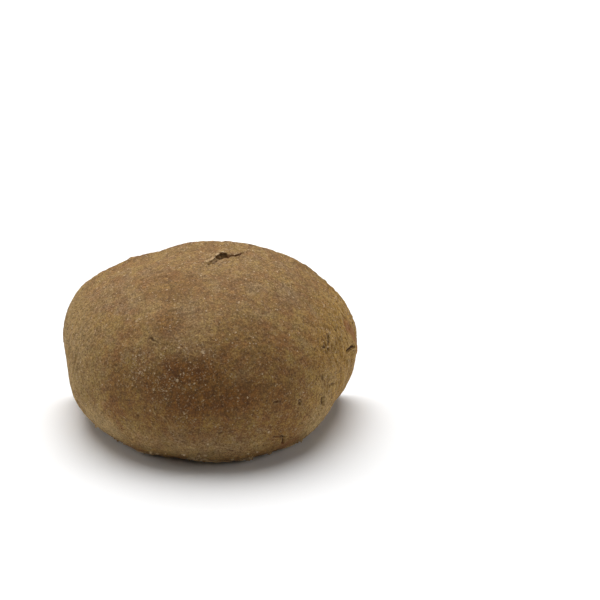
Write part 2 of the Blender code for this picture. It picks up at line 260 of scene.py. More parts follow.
# crust: a fine sphere cut in half, carried to the loaf's form, with its grain and tears as relief
crustLook = {
    "sphereSteps": 8,
    "tearZones": (2.0, 0.8),          # half widths round a tear that get finer faces, then finer again
    "widestFine": 1.1,                # wider tears keep the plain faces
    "raggedLength": 1.5 * mm,
    "raggedReach": 0.55 * mm,
    # swell, grain and grit: length, height, seed
    "relief": ((7.0 * mm, 0.2 * mm, 2.0), (1.7 * mm, 0.18 * mm, 5.0), (0.95 * mm, 0.08 * mm, 9.0)),
    # upright creases on both flanks: their grain and depth, where they set in across the loaf,
    # where they set in above the foot, and where they fade towards the top
    "wrinkleGrain": (1.5 * mm, 1.5 * mm, 8.0 * mm),
    "wrinkleHeight": 0.45 * mm,
    "wrinkleSides": (38 * mm, 58 * mm),
    "wrinkleFoot": (3 * mm, 14 * mm),
    "wrinkleTop": (50 * mm, 64 * mm),
    # chips broken out of the crust along the cut
    "chipLength": 2.3 * mm,
    "chipReach": 0.5 * mm,
    "chipBand": 1.1 * mm,
    # a torn lip's distance from its tear, and its width, both in half widths of the tear
    "lip": (1.7, 0.5),
    # a thin ragged edge round the foot, where the dough lay on the stone: height, half width, reach
    "skirt": (1.5 * mm, 0.7 * mm, 0.75 * mm),
    "skirtLength": 4.5 * mm,
    "skirtShare": (0.6, 1.3),     # the reach's middle and how much it swings
    "core": (0.0, 33.0 * mm),     # across and up, the middle of the cut
    # rings of the cut, from the rim inwards: inset, setback from the cut, roughness
    "cutRings": (
        (0.3 * mm, -0.05 * mm, 0.16 * mm),
        (0.8 * mm, 0.05 * mm, 0.22 * mm),
        (1.4 * mm, 0.12 * mm, 0.22 * mm),
        (2.0 * mm, 0.3 * mm, 0.2 * mm),
        (2.5 * mm, 1.6 * mm, 0.1 * mm),
        (3.0 * mm, 4.2 * mm, 0.0),
    ),
    "cutGrain": 0.9 * mm,
    "cutDepth": 2.2 * mm,         # how far in the section has turned to its inner colour
    # browner and redder zones: place, reach across, along and up, strength
    "browned": (
        ((1, -37, 36), (25, 20, 9.5), 0.9),
        ((-4, -35, 45.5), (14, 11, 7), 1.0),
        ((9, -31, 52), (7, 7, 5), 0.55),
        ((-20, -33, 42), (9, 9, 6), 0.6),
        ((-15, -26, 57), (5, 5, 3), 0.25),
        ((-6, -38, 26), (18, 20, 9), 0.4),
        ((-16, 2, 70), (12, 12, 7), 0.35),
        ((-16, -19, 61), (7, 9, 7), 0.6),
        ((19, -21, 58), (9, 8, 8), 0.35),
        ((25, -27, 51), (9, 9, 7), 0.4),
        ((31, -33, 34), (10, 10, 9), 0.55),
        ((15, -38, 30), (10, 9, 7), 0.4),
        ((-34, -28, 34), (10, 9, 11), 0.45),
        ((34, -29, 18), (8, 8, 7), 0.35),
    ),
    # greyer zones under a bloom of flour
    "bloomed": (
        ((36, 6, 65), (7, 8, 6), 0.8),
        ((-33, 0, 64), (6, 7, 6), 0.9),
        ((-7, -14, 66), (6, 7, 5), 0.8),
        ((-12, -23, 59), (5, 5, 4), 0.7),
        ((-44, 14, 58), (8, 12, 8), 0.6),
        ((-52, 4, 42), (8, 12, 14), 0.5),
        ((-26, 17, 72), (3, 7, 4), 0.8),
        ((-36, 14, 66), (3, 9, 5), 0.8),
        ((0, -37, 13), (24, 10, 8), 0.75),
    ),
    # lighter, less baked zones
    "light": (
        ((50, -12, 11), (10, 14, 11), 1.0),
        ((0, -35, 9), (32, 10, 5), 0.45),
        ((-46, -16, 11), (13, 14, 9), 0.95),
        ((-28, -30, 12), (12, 10, 6), 0.45),
        ((-23, -9, 65), (7, 7, 5), 0.3),
        ((-6, -29, 56), (7, 5, 3.5), 0.4),
        ((-25, -24, 55), (8, 6, 5), 0.25),
        ((-2, -20, 61), (6, 8, 5), 0.35),
        ((52, -10, 28), (7, 9, 10), 0.35),
    ),
    # dusted zones, where pale flecks crowd: place, reach and strength
    "dusted": (
        ((-17, -31, 46), (22, 14, 10), 0.6),
        ((12, 22, 73), (30, 14, 9), 0.7),
        ((-40, 22, 58), (16, 16, 12), 0.5),
        ((50, 8, 40), (9, 18, 20), 0.6),
    ),
}

# the finishes of tears in the order of painting: name, colour, where it sets in, share; plain gets no paint
crustFinishes = (
    ("red", "red", 0.15, 0.6),
    ("raw", "raw", 0.3, 0.7),
    ("smooth", "smooth", 0.15, 0.75),
    ("pale", "torn", 0.2, 0.85),
    ("ridge", "torn", 0.4, 0.4),
    ("lip", "torn", 0.4, 0.35),
    # painted shade in small creases and pits
    ("creaseShade", "creaseShade", 0.35, 0.6),
    # painted shade inside holes and cracks and under torn flaps
    ("dark", "paintedCrackShade", 0.35, 0.85),
)


def readValues(items, name, width):
    flat = np.empty(len(items) * width)
    items.foreach_get(name, flat)
    return flat.reshape(-1, width)


def meshPoints(mesh):
    return readValues(mesh.vertices, "co", 3)


def setPoints(mesh, points):
    mesh.vertices.foreach_set("co", points.astype(np.float32).ravel())
    mesh.update()


def setAttribute(mesh, name, values):
    layer = mesh.attributes.get(name) or mesh.attributes.new(name, "FLOAT", "POINT")
    layer.data.foreach_set("value", np.asarray(values, dtype=np.float32))


def smoothStep(values, low, high):
    share = np.clip((values - low) / (high - low), 0.0, 1.0)
    return share * share * (3.0 - 2.0 * share)


def zoneShare(points, zones):
    share = np.zeros(len(points))
    for place, reach, strength in zones:
        gap = np.linalg.norm((points / mm - np.array(place)) / np.array(reach), axis=1)
        share = np.maximum(share, strength * np.exp(-gap ** 4 * 0.7))
    return share


def halfSphere(steps):
    deselectAll()
    bpy.ops.mesh.primitive_ico_sphere_add(subdivisions=steps, radius=1.0, location=(0, 0, 0))
    ball = bpy.context.active_object
    setMode("EDIT")
    bpy.ops.mesh.select_all(action="SELECT")
    bpy.ops.mesh.bisect(plane_co=(0, 0, 0), plane_no=(0, 1, 0), clear_outer=True)
    setMode("OBJECT")
    return ball


def unitDirections(mesh):
    points = meshPoints(mesh)
    return points / np.linalg.norm(points, axis=1)[:, None]


def refineTears(ball, zone):
    unit = unitDirections(ball.data)
    smooth = lumpyPoints(unit)
    near = np.zeros(len(smooth), dtype=bool)
    for route, halfWidth, _, _, _ in tears:
        if halfWidth < crustLook["widestFine"]:
            near |= routeDistance(smooth, snapped(route, smooth)) < zone * halfWidth * mm
    setMode("EDIT")
    bpy.ops.mesh.select_all(action="DESELECT")
    setMode("OBJECT")
    ball.data.vertices.foreach_set("select", near)
    ends = np.empty(len(ball.data.edges) * 2, dtype=int)
    ball.data.edges.foreach_get("vertices", ends)
    ball.data.edges.foreach_set("select", near[ends.reshape(-1, 2)].all(axis=1))
    setMode("EDIT")
    bpy.ops.mesh.select_mode(type="EDGE")
    bpy.ops.mesh.subdivide(number_cuts=1)
    bpy.ops.mesh.select_all(action="SELECT")
    bpy.ops.mesh.quads_convert_to_tris()
    setMode("OBJECT")


def crustRelief(base):
    look = crustLook
    relief = np.zeros(len(base))
    for length, height, seed in look["relief"]:
        relief += noiseField(base, length, seed) * height
    flank = smoothStep(np.abs(base[:, 0]), *look["wrinkleSides"])
    flank *= smoothStep(base[:, 2], *look["wrinkleFoot"])
    fadeStart, fadeEnd = look["wrinkleTop"]
    flank *= smoothStep(-base[:, 2], -fadeEnd, -fadeStart)
    creases = noiseField(base / np.array(look["wrinkleGrain"]), 1.0, 4.0)
    relief -= smoothStep(creases, 0.0, 0.55) * look["wrinkleHeight"] * flank
    # painted light on the strips between the flank wrinkles and painted shade in their grooves
    wrinkleShading = (0.5 - smoothStep(creases, -0.3, 0.5)) * flank
    chips = noiseField(base, look["chipLength"], 7.0) - 0.08
    band = np.exp(-((loafForm["cutY"] - base[:, 1]) / look["chipBand"]) ** 2)
    relief -= np.maximum(chips, 0.0) * look["chipReach"] * band
    return relief, flank, wrinkleShading


# the thin edge round the foot: how far each point moves sideways
def skirtReach(base):
    height, halfWidth, reach = crustLook["skirt"]
    middle, swing = crustLook["skirtShare"]
    ripple = noiseField(base * np.array((1.0, 1.0, 0.0)), crustLook["skirtLength"], 6.0)
    ragged = np.clip(middle + swing * ripple, 0.1, 1.3)
    return reach * ragged * np.exp(-((base[:, 2] - height) / halfWidth) ** 2)


# carries the cut's open edge inwards, ring by ring, and closes it behind the crumb
def closeCut(ball):
    look = crustLook
    mesh = ball.data
    core = np.array(look["core"])
    cut = np.zeros(len(mesh.vertices))
    selectOnly(ball)
    rim = len(mesh.vertices)
    for step, (inset, setback, roughness) in enumerate(look["cutRings"]):
        before = len(mesh.vertices)
        growOpenEdge()
        points = meshPoints(mesh)
        ring = np.arange(before, len(points))
        spread = points[ring][:, (0, 2)] - core
        reach = np.linalg.norm(spread, axis=1)
        last = look["cutRings"][step - 1][0] if step else 0.0
        points[ring, 0] = core[0] + spread[:, 0] * (1.0 - (inset - last) / reach)
        points[ring, 2] = core[1] + spread[:, 1] * (1.0 - (inset - last) / reach)
        rough = noiseField(points[ring] * np.array((1.0, 0.0, 1.0)), look["cutGrain"], 3.0 + step)
        points[ring, 1] = loafForm["cutY"] - setback + rough * roughness
        setPoints(mesh, points)
        share = min(inset / look["cutDepth"], 1.0)
        cut = np.concatenate((cut, np.full(len(ring), share)))
    closeOpenEdge()
    return np.concatenate((cut, np.ones(len(mesh.vertices) - len(cut)))), rim


def makeCrust():
    look = crustLook
    ball = halfSphere(look["sphereSteps"])
    for zone in look["tearZones"]:
        refineTears(ball, zone)
    mesh = ball.data
    unit = unitDirections(mesh)
    base = lumpyPoints(unit)
    setPoints(mesh, base)
    normals = readValues(mesh.vertex_normals, "vector", 3)
    relief, flank, wrinkleShading = crustRelief(base)
    ragged = np.array([noise.noise_vector(Vector(point) / look["raggedLength"]) for point in base])
    ragged *= look["raggedReach"]
    lipPlace, lipWidth = look["lip"]
    finishes = {name: np.zeros(len(base)) for name, *_ in crustFinishes}
    for route, halfWidth, rise, lip, finish in tears:
        gap = routeDistance(base + ragged, snapped(route, base)) / (halfWidth * mm)
        shape = np.exp(-gap ** 2)
        lipShape = np.exp(-((gap - lipPlace) / lipWidth) ** 2)
        relief += rise * mm * shape + lip * mm * lipShape
        if finish in finishes:
            finishes[finish] = np.maximum(finishes[finish], shape)
        if lip:
            finishes["lip"] = np.maximum(finishes["lip"], lipShape)
    points = base + normals * relief[:, None]
    skirt = skirtReach(base)
    sideways = (base - np.array((0.0, loafForm["cutY"], 0.0))) * np.array((1.0, 1.0, 0.0))
    points += sideways / np.linalg.norm(sideways, axis=1)[:, None].clip(mm) * skirt[:, None]
    points[:, 2] = np.maximum(points[:, 2], 0.0)
    edge = np.abs(unit[:, 1]) < 1e-6
    points[edge, 1] = loafForm["cutY"]
    middle = (points[:, 0].min() + points[:, 0].max()) / 2
    points[:, 0] -= middle
    setPoints(mesh, points)
    rimPoints = points[edge]
    domeFaces = len(mesh.polygons)
    cut, outer = closeCut(ball)
    zones = {name: zoneShare(base, look[name]) for name in ("browned", "dusted", "bloomed", "light")}
    zones["skirt"] = skirt / look["skirt"][2]
    for name, values in {**finishes, **zones, "flank": flank, "wrinkleShading": wrinkleShading}.items():
        setAttribute(mesh, name, np.concatenate((values, np.zeros(len(cut) - outer))))
    setAttribute(mesh, "cut", cut)
    ball.name = "crust"
    mesh.name = "crust"
    selectOnly(ball)
    bpy.ops.object.shade_smooth()
    print("crust modelled,", len(mesh.polygons), "faces")
    return ball, middle, rimPoints, domeFaces


crust, sideShift, rimPoints, domeFaces = makeCrust()
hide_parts(nodeName)
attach(crust, "root")

# crumb: a plug with a fine grid on its face, pitted with pores of many sizes
crumbLook = {
    "columns": 380,
    "rows": 232,
    "inset": 1.75 * mm,
    "setback": 0.45 * mm,
    "thickness": 3.2 * mm,
    "seed": 21,
    # pores: how many, smallest and largest radius, depth against radius
    "pores": (
        (24, 1.0 * mm, 1.9 * mm, 0.95),
        (210, 0.5 * mm, 1.0 * mm, 0.9),
        (1300, 0.32 * mm, 0.52 * mm, 0.8),
    ),
    "poreField": (66, 1, 76),      # half width, lowest and highest place, in millimetres
    "poreGap": 0.35 * mm,
    "edgeGap": 2.2 * mm,
    "poreStretch": (1.4, 1.9),     # at most, for small pores and for long ones
    "longPore": 0.7 * mm,          # pores above this radius can be long
    "poreWobble": (1.1 * mm, 0.35),   # grain of the uneven outline, and its reach in millimetres
    # depth where a pore's painted shade is at its darkest
    "darkDepth": 1.1 * mm,         # where a pore is darkest
    "poreRim": (1.15, 0.18),       # the raised rim's place and width, in pore radii
    "poreRimHeight": 0.12 * mm,
    "highest": 0.1 * mm,           # how far the crumb may stand out of the cut
    "evenEdge": 1.2 * mm,          # the smooth edge next to the crust
    "foamLength": 0.95 * mm,
    "foamHeight": 0.3 * mm,
    "roughLength": 2.6 * mm,
    "roughHeight": 0.28 * mm,
    "tearLength": 9.0 * mm,
    "tearHeight": 0.4 * mm,
    "shredLength": 1.7 * mm,
    "shredHeight": 0.6 * mm,
    "shredFade": (6 * mm, 42 * mm),   # the torn zone thins out between these heights
    "directions": 1440,            # of the outline, as seen from the core
    "smoothing": 9,                # directions that the outline is averaged over
}


# the cut's outline as a reach from its core for every direction, smoothed
def outlineReach(rim, inset):
    core = np.array(crustLook["core"])
    spread = rim[:, (0, 2)] - core
    turn = np.arctan2(spread[:, 1], spread[:, 0])
    order = np.argsort(turn)
    reach = np.linalg.norm(spread, axis=1)[order]
    turn = turn[order]
    even = np.linspace(-math.pi, math.pi, crumbLook["directions"] + 1)[:-1]
    reach = np.interp(even, turn, reach, period=2 * math.pi)
    width = crumbLook["smoothing"]
    side = width // 2
    reach = np.convolve(np.concatenate((reach[-side:], reach, reach[:side])), np.ones(width) / width, "valid")
    return even, reach - inset


def placePores(area):
    look = crumbLook
    draw = random.Random(look["seed"])
    even, reach = area
    halfWidth, lowest, highest = look["poreField"]
    shortStretch, longStretch = look["poreStretch"]
    found = []
    for count, small, large, depth in look["pores"]:
        made = 0
        while made < count:
            x = draw.uniform(-halfWidth, halfWidth) * mm
            z = draw.uniform(lowest, highest) * mm
            radius = small + (large - small) * draw.random() ** 1.7
            spread = (x - crustLook["core"][0], z - crustLook["core"][1])
            edge = np.interp(math.atan2(spread[1], spread[0]), even, reach, period=2 * math.pi)
            if math.hypot(*spread) > edge - radius - look["edgeGap"]:
                continue
            if any(math.hypot(x - p[0], z - p[1]) < radius + p[2] + look["poreGap"] for p in found):
                continue
            stretch = draw.uniform(1.0, longStretch if radius > look["longPore"] else shortStretch)
            found.append((x, z, radius, stretch, draw.uniform(0, math.pi), depth))
            made += 1
    return found


def poreDepth(x, z, pores):
    depth = np.zeros(len(x))
    rimShare = np.zeros(len(x))
    wobbleLength, wobbleReach = crumbLook["poreWobble"]
    rimPlace, rimWidth = crumbLook["poreRim"]
    flatPoints = np.column_stack((x, z, x * 0))
    wobbleX = noiseField(flatPoints, wobbleLength, 6.0) * wobbleReach * mm
    wobbleZ = noiseField(flatPoints, wobbleLength, 8.0) * wobbleReach * mm
    for place, level, radius, stretch, turn, deep in pores:
        near = np.nonzero((np.abs(x - place) < radius * 3) & (np.abs(z - level) < radius * 3))[0]
        dx = x[near] + wobbleX[near] - place
        dz = z[near] + wobbleZ[near] - level
        along = (dx * math.cos(turn) + dz * math.sin(turn)) / stretch
        across = -dx * math.sin(turn) + dz * math.cos(turn)
        gap = np.hypot(along, across) / radius
        bowl = np.sqrt(np.clip(1.0 - gap ** 2, 0.0, 1.0)) * radius * deep
        depth[near] = np.maximum(depth[near], bowl)
        rimShare[near] = np.maximum(rimShare[near], np.exp(-((gap - rimPlace) / rimWidth) ** 2))
    return depth, rimShare


def makeCrumb():
    look = crumbLook
    area = outlineReach(rimPoints, look["inset"])
    deselectAll()
    bpy.ops.mesh.primitive_grid_add(x_subdivisions=look["columns"], y_subdivisions=look["rows"], size=2.0)
    plug = bpy.context.active_object
    mesh = plug.data
    flat = meshPoints(mesh)
    u, v = flat[:, 0], flat[:, 1]
    discX = u * np.sqrt(1.0 - v * v / 2)
    discZ = v * np.sqrt(1.0 - u * u / 2)
    share = np.hypot(discX, discZ)
    reach = np.interp(np.arctan2(discZ, discX), area[0], area[1], period=2 * math.pi)
    core = crustLook["core"]
    unitX = np.divide(discX, share, out=np.zeros_like(share), where=share > 0)
    unitZ = np.divide(discZ, share, out=np.zeros_like(share), where=share > 0)
    x = core[0] + unitX * share * reach
    z = core[1] + unitZ * share * reach
    inside = smoothStep(reach * (1.0 - share), 0.0, look["evenEdge"])
    flatPoints = np.column_stack((x, z, np.zeros(len(x))))
    depth, rim = poreDepth(x, z, placePores(area))
    foam = np.empty(len(x))
    for index, point in enumerate(flatPoints):
        distances, _ = noise.voronoi(Vector(point) / look["foamLength"])
        foam[index] = min(distances[1] - distances[0], 0.6) / 0.6
    rough = noiseField(flatPoints, look["roughLength"], 1.0) * look["roughHeight"]
    rough += noiseField(flatPoints * np.array((1.0, 1.6, 1.0)), look["tearLength"], 2.5) * look["tearHeight"]
    torn = noiseField(flatPoints * np.array((1.0, 0.6, 1.0)), look["shredLength"], 4.5)
    rough += np.abs(torn) * look["shredHeight"] * (1.0 - smoothStep(z, *look["shredFade"]))
    height = -look["setback"] + (rough - foam * look["foamHeight"] + rim * look["poreRimHeight"]) * inside
    height -= depth
    points = np.column_stack((x, loafForm["cutY"] + np.minimum(height, look["highest"]), z))
    setPoints(mesh, points)
    growOpenEdge()
    grown = meshPoints(mesh)
    grown[len(points):, 1] = loafForm["cutY"] - look["thickness"]
    setPoints(mesh, grown)
    closeOpenEdge()
    extra = np.zeros(len(mesh.vertices) - len(points))
    # painted shade in the pores: the deeper, the darker
    poreShadeShare = np.clip(depth / look["darkDepth"], 0.0, 1.0)
    fromEdge = reach * (1.0 - share) / mm
    for name, values in (("poreShade", poreShadeShare), ("foam", foam), ("rim", rim), ("edge", fromEdge)):
        setAttribute(mesh, name, np.concatenate((values, extra)))
    plug.name = "crumb"
    mesh.name = "crumb"
    bpy.ops.object.shade_smooth()
    print("crumb modelled,", len(mesh.polygons), "faces")
    return plug


crumb = makeCrumb()
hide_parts(nodeName)
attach(crumb, "root")


# a node's output that Python's own operators work on
class Wire:
    def __init__(self, bench, socket):
        self.bench = bench
        self.socket = socket

    def __add__(self, other):
        return self.bench.sum("ADD", self, other)

    def __radd__(self, other):
        return self.bench.sum("ADD", other, self)

    def __sub__(self, other):
        return self.bench.sum("SUBTRACT", self, other)

    def __rsub__(self, other):
        return self.bench.sum("SUBTRACT", other, self)

    def __mul__(self, other):
        return self.bench.sum("MULTIPLY", self, other)

    def __rmul__(self, other):
        return self.bench.sum("MULTIPLY", other, self)

    def clamped(self):
        return self.bench.node("ShaderNodeClamp", {}, {"Value": self})

    # a smooth step from 0 to 1 as the value goes from low to high
    def between(self, low, high):
        inputs = {"Value": self, "From Min": low, "From Max": high}
        return self.bench.node("ShaderNodeMapRange", {"interpolation_type": "SMOOTHSTEP"}, inputs)


# one material's node tree
class Bench:
    def __init__(self, name):
        self.material = bpy.data.materials.new(name)
        self.material.use_nodes = True
        self.tree = self.material.node_tree
        self.shader = self.tree.nodes["Principled BSDF"]

    def node(self, kind, settings, inputs, output=0):
        made = self.tree.nodes.new(kind)
        for name, value in settings.items():
            setattr(made, name, value)
        for name, value in inputs.items():
            self.feed(made.inputs[name], value)
        return Wire(self, made.outputs[output])

    def feed(self, socket, value):
        if isinstance(value, Wire):
            self.tree.links.new(value.socket, socket)
        else:
            socket.default_value = value

    def sum(self, operation, first, second):
        return self.node("ShaderNodeMath", {"operation": operation}, {0: first, 1: second})

    def blend(self, first, second, share, how="MIX"):
        settings = {"data_type": "RGBA", "blend_type": how}
        return self.node("ShaderNodeMix", settings, {0: share, 6: first, 7: second}, 2)

    # lays a colour over the tone: red, green, blue and its share at full strength
    def coat(self, tone, paint, mask):
        red, green, blue, share = paint
        return self.blend(tone, colour(red, green, blue), mask * share)

    def shade(self, tone, factor):
        return self.blend(tone, factor, 1.0, "MULTIPLY")

    def surface(self, tone, roughness, specular):
        self.feed(self.shader.inputs["Base Color"], tone)
        self.feed(self.shader.inputs["Roughness"], roughness)
        self.feed(self.shader.inputs["Specular IOR Level"], specular)

    def place(self):
        return self.node("ShaderNodeTexCoord", {}, {}, "Object")

    def clouds(self, place, size, detail=3.0, roughness=0.5):
        inputs = {"Vector": place, "Scale": 1.0 / size, "Detail": detail, "Roughness": roughness}
        return self.node("ShaderNodeTexNoise", {}, inputs, "Fac")

    # a random value for each small cell
    def cells(self, place, size):
        inputs = {"Vector": place, "Scale": 1.0 / size}
        chosen = self.node("ShaderNodeTexVoronoi", {"feature": "F1"}, inputs, "Color")
        return self.node("ShaderNodeSeparateColor", {}, {"Color": chosen}, "Red")

    def warped(self, place, size, reach):
        inputs = {"Vector": place, "Scale": 1.0 / size, "Detail": 2.0}
        push = self.node("ShaderNodeTexNoise", {}, inputs, "Color")
        centred = self.node("ShaderNodeVectorMath", {"operation": "SUBTRACT"}, {0: push, 1: (0.5, 0.5, 0.5)})
        scaled = self.node("ShaderNodeVectorMath", {"operation": "SCALE"}, {0: centred, "Scale": 2 * reach})
        return self.node("ShaderNodeVectorMath", {"operation": "ADD"}, {0: place, 1: scaled})

    def side(self, place):
        return self.node("ShaderNodeSeparateXYZ", {}, {"Vector": place}, "X")

    def height(self, place):
        return self.node("ShaderNodeSeparateXYZ", {}, {"Vector": place}, "Z")

    def bump(self, height, distance):
        return self.node("ShaderNodeBump", {}, {"Height": height, "Distance": distance, "Strength": 0.9})

    def attribute(self, name):
        return self.node("ShaderNodeAttribute", {"attribute_name": name}, {}, "Fac")


# a colour in steps of 255, as the renderer wants it
def colour(red, green, blue):
    def linear(value):
        share = value / 255
        return share / 12.92 if share <= 0.04045 else ((share + 0.055) / 1.055) ** 2.4
    return (linear(red), linear(green), linear(blue), 1.0)


# colours in steps of 255; a fourth value is the colour's share where it lies at full strength
crustPaint = {
    "ochre": (139, 111, 60),
    "russet": (126, 89, 46),
    "veil": (130, 108, 80, 0.5),
    "yellow": (146, 118, 60, 0.5),
    "ruddy": (122, 84, 52, 0.5),
    # flour bloom and painted sheen on the top of the loaf
    "topBloomAndSheen": (140, 114, 79, 0.3),
    "belt": (127, 97, 51, 0.7),
    "browning": (217, 187, 140),
    "bloom": (128, 104, 76, 0.6),
    "light": (164, 140, 98, 0.7),
    "leftFlank": (145, 121, 75),
    "rightFlank": (150, 116, 48),
    "flankShare": 0.65,
    # painted light between the flank wrinkles and painted shade in their grooves
    "paintedWrinkleLight": (172, 140, 88, 0.7),
    "paintedWrinkleShade": (112, 78, 42, 0.7),
    "paleFleck": (186, 158, 122, 0.4),
    "darkFleck": (82, 54, 32, 0.45),
    # painted shade inside holes and cracks and under torn flaps
    "paintedCrackShade": (58, 36, 21),
    # painted shade in small creases and pits
    "creaseShade": (74, 46, 25),
    "torn": (182, 152, 104),
    "raw": (160, 106, 48),
    "red": (130, 84, 50),
    "smooth": (134, 82, 38),
    "rim": (158, 128, 86),
    "section": (118, 90, 60),
    "inner": (112, 94, 68),
    "foot": (158, 130, 92, 0.4),
    # the foot's thin edge: its own paler colour, brightened further with painted light against the shade
    # under the belly
    "skirt": (216, 190, 148, 0.85),
    "warp": (0.9 * mm, 0.7 * mm),   # size and reach of the push that makes the grain's cells uneven
    "blotchSize": 7.5 * mm,
    "veilSize": 8.0 * mm,
    "patchSize": 4.2 * mm,
    "wobbleSize": 5.0 * mm,       # breaks up the edges of the browned and floury zones
    "grainSize": 0.66 * mm,
    "grainCloudSize": 0.6 * mm,
    "grainRange": (0.42, 1.9),
    "grainTints": ((1.0, 0.87, 0.66, 1.0), (0.84, 0.91, 1.0, 1.0)),   # in the grain's dips and on its tips
    "mottleSizes": (1.3 * mm, 3.4 * mm),
    "mottleRange": (0.68, 1.32),
    "fleckSize": 0.5 * mm,
    "wash": (150, 140, 132, 0.06),     # a thin even bloom over everything
    "sideFade": (-20 * mm, 20 * mm),   # from the left flank's tone to the right one's
    "topFade": (52 * mm, 78 * mm),
    "footFade": (1.0 * mm, 4.0 * mm),
    # painted light near the foot and painted shade near the top
    "paintedFootLightTopShade": (1.17, 0.96),     # painted slightly lighter near the foot, darker near the top
    "roughness": (0.6, 0.86),
    "roughSize": 1.4 * mm,
    "specular": 0.12,
    "bumpSize": 0.55 * mm,
    "bumpHeight": 0.36 * mm,
}


def crustMaterial():
    paint = crustPaint
    bench = Bench("browned crust")
    place = bench.place()
    warped = bench.warped(place, *paint["warp"])
    cell = bench.cells(warped, paint["grainSize"])
    coarse = bench.cells(warped, paint["fleckSize"])
    dither = (cell - 0.5) * 0.3
    blotch = (bench.clouds(place, paint["blotchSize"], 3.0, 0.5) + dither * 0.25).between(0.32, 0.68)
    tone = bench.blend(colour(*paint["russet"]), colour(*paint["ochre"]), blotch)
    veil = (bench.clouds(place, paint["veilSize"], 3.0, 0.55) + dither * 0.2).between(0.52, 0.7)
    tone = bench.coat(tone, paint["veil"], veil)
    patch = bench.clouds(place, paint["patchSize"], 2.0, 0.4)
    tone = bench.coat(tone, paint["yellow"], patch.between(0.54, 0.72))
    tone = bench.coat(tone, paint["ruddy"], (1.0 - patch).between(0.54, 0.72))
    side = bench.side(place).between(*paint["sideFade"])
    flank = bench.blend(colour(*paint["leftFlank"]), colour(*paint["rightFlank"]), side)
    tone = bench.blend(tone, flank, bench.attribute("flank") * paint["flankShare"])
    # paints the top paler and greyer by height: a flour bloom together with a painted sheen
    tone = bench.coat(tone, paint["topBloomAndSheen"], bench.height(place).between(*paint["topFade"]))
    # painted light and shade of the flank wrinkles, stronger on the right
    wrinkleShading = bench.attribute("wrinkleShading") * (side * 0.6 + 0.4)
    tone = bench.coat(tone, paint["paintedWrinkleLight"], wrinkleShading.clamped())
    tone = bench.coat(tone, paint["paintedWrinkleShade"], (wrinkleShading * -1.0).clamped())
    wobble = (bench.clouds(place, paint["wobbleSize"], 5.0, 0.7) - 0.5) * 2.4 + dither
    browned = (bench.attribute("browned") * (wobble * 0.7 + 1.0)).clamped()
    tone = bench.coat(tone, paint["belt"], browned)
    tone = bench.blend(tone, bench.shade(tone, colour(*paint["browning"])), browned)
    bloomed = (bench.attribute("bloomed") * (wobble * 1.4 + 0.8)).clamped()
    tone = bench.coat(tone, paint["bloom"], bloomed)
    tone = bench.coat(tone, paint["light"], bench.attribute("light").clamped())
    low, high = paint["grainRange"]
    grain = bench.clouds(place, paint["grainCloudSize"], 2.0, 0.6).between(0.28, 0.72) * 0.55 + cell * 0.45
    tone = bench.shade(tone, grain * (high - low) + low)
    tone = bench.shade(tone, bench.blend(*paint["grainTints"], grain))
    small, large = (bench.clouds(place, size, 3.0, 0.6).between(0.3, 0.7) for size in paint["mottleSizes"])
    low, high = paint["mottleRange"]
    mottle = (small * 0.55 + large * 0.45 - 0.5) * (high - low) * (bench.attribute("browned") * 0.6 + 1.0)
    tone = bench.shade(tone, mottle + (high + low) / 2)
    dusted = bench.attribute("dusted")
    pale = (coarse + dusted * 0.05).between(0.9, 0.97)
    tone = bench.coat(tone, paint["paleFleck"], pale * (dusted * 0.5 + 1.0))
    tone = bench.coat(tone, paint["darkFleck"], (0.1 - coarse).between(0.0, 0.04))
    foot = (1.0 - bench.height(place).between(*paint["footFade"])) * grain
    tone = bench.coat(tone, paint["foot"], foot)
    # the foot's thin edge: paler colour plus painted light where the belly shades it
    tone = bench.coat(tone, paint["skirt"], bench.attribute("skirt").between(0.15, 0.8))
    for name, key, low, share in crustFinishes:
        tone = bench.coat(tone, (*paint[key], share), bench.attribute(name).between(low, 0.9))
    # painted light near the foot and painted shade near the top, by height
    light = bench.height(place).between(0.0, loafForm["height"])
    low, high = paint["paintedFootLightTopShade"]
    tone = bench.shade(tone, light * (high - low) + low)
    tone = bench.coat(tone, paint["wash"], 1.0)
    cut = bench.attribute("cut")
    section = bench.blend(colour(*paint["rim"]), colour(*paint["section"]), (cut + dither).between(0.1, 0.45))
    section = bench.blend(section, colour(*paint["inner"]), (cut + dither * 1.5).between(0.45, 0.85))
    section = bench.shade(section, grain * 0.6 + 0.7)
    tone = bench.blend(tone, section, cut.between(0.0, 0.12))
    low, high = paint["roughness"]
    rough = bench.clouds(place, paint["roughSize"], 3.0, 0.6) * (high - low) + low
    bench.surface(tone, rough, paint["specular"])
    height = bench.clouds(place, paint["bumpSize"], 3.0, 0.7) + cell * 0.35 + pale * 0.3
    bench.feed(bench.shader.inputs["Normal"], bench.bump(height, paint["bumpHeight"]))
    return bench.material


crumbPaint = {
    "mid": (118, 101, 77),
    "light": (150, 131, 102, 0.55),
    "shade": (74, 61, 46, 0.7),
    # painted shade in the dimples of the crumb's cells
    "foam": (74, 61, 46, 0.3),
    # painted shade inside the pores
    "poreShade": (46, 36, 27, 0.85),
    "strand": (176, 156, 120, 0.7),
    "poreRim": (176, 156, 120, 0.22),
    "speck": (62, 46, 34, 0.6),
    "underCrust": (100, 84, 63, 0.6),
    "crustLine": (104, 77, 50, 0.7),
    "cloudSize": 7.0 * mm,
    "warp": (1.1 * mm, 0.5 * mm),
    "cellSize": 0.7 * mm,
    "grainSize": 0.6 * mm,
    "strandSize": 1.5 * mm,
    "strandFade": (4.0 * mm, 40.0 * mm),   # fewer pale strands from the foot up
    "edgeSize": 2.0 * mm,
    "roughness": 0.85,
    "specular": 0.2,
    "bumpSize": 0.5 * mm,
    "bumpHeight": 0.3 * mm,
}


